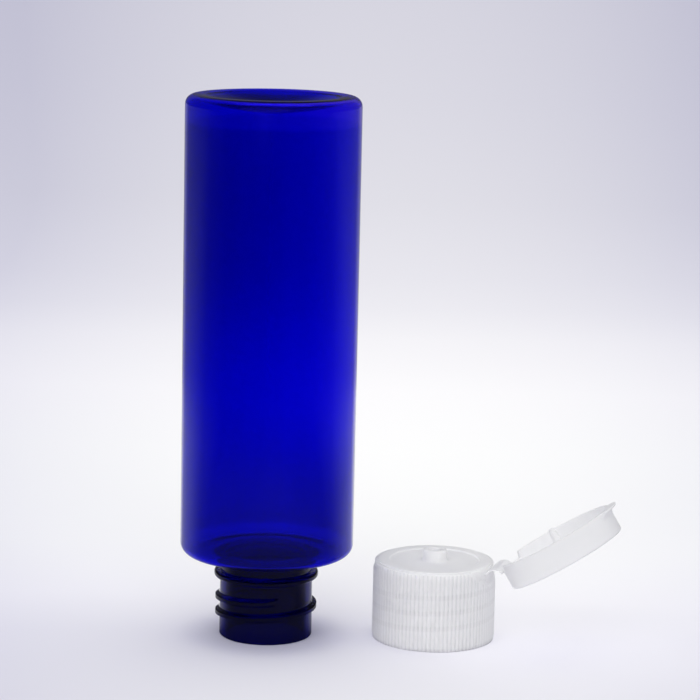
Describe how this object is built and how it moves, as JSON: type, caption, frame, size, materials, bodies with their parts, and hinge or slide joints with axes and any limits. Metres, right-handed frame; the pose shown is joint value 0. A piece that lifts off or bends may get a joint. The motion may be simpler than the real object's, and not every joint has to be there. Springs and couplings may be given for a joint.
{
  "type": "flip-top bottle",
  "caption": "Transparent cylinder bottle standing on its threaded mouth, with its ribbed flip-top screw cap beside it, lid open.",
  "frame": {"origin": "centre of the neck bore at the bottle's mouth, on which the bottle stands", "axes": "+Z from the mouth up to the base of the inverted bottle, +X towards the cap"},
  "size_m": [0.1178, 0.0489, 0.146],
  "materials": {
    "cobalt_pet": "transparent, glossy",
    "natural_pp": "translucent, satin"
  },
  "bodies": {
    "bottle": {"bottle_shell": "cobalt_pet", "neck_thread": "cobalt_pet"},
    "cap": {"cap_skirt": "natural_pp", "cap_thread": "natural_pp", "pour_spout": "natural_pp", "plug_seal": "natural_pp", "hinge_cap_leaf": "natural_pp"},
    "lid": {"lid_shell": "natural_pp", "lid_stopper": "natural_pp", "hinge_lid_leaf": "natural_pp"}
  },
  "joints": [
    {"name": "cap_lift", "type": "slide", "parent": "bottle", "child": "cap", "axis": [0, 0, 1], "range_m": [0, 0.15]},
    {"name": "lid_hinge", "type": "hinge", "parent": "cap", "child": "lid", "pos_m": [0.06256, -0.00419, 0.0214], "axis": [0.2756, 0.9613, 0], "range_deg": [-148, 30]}
  ]
}
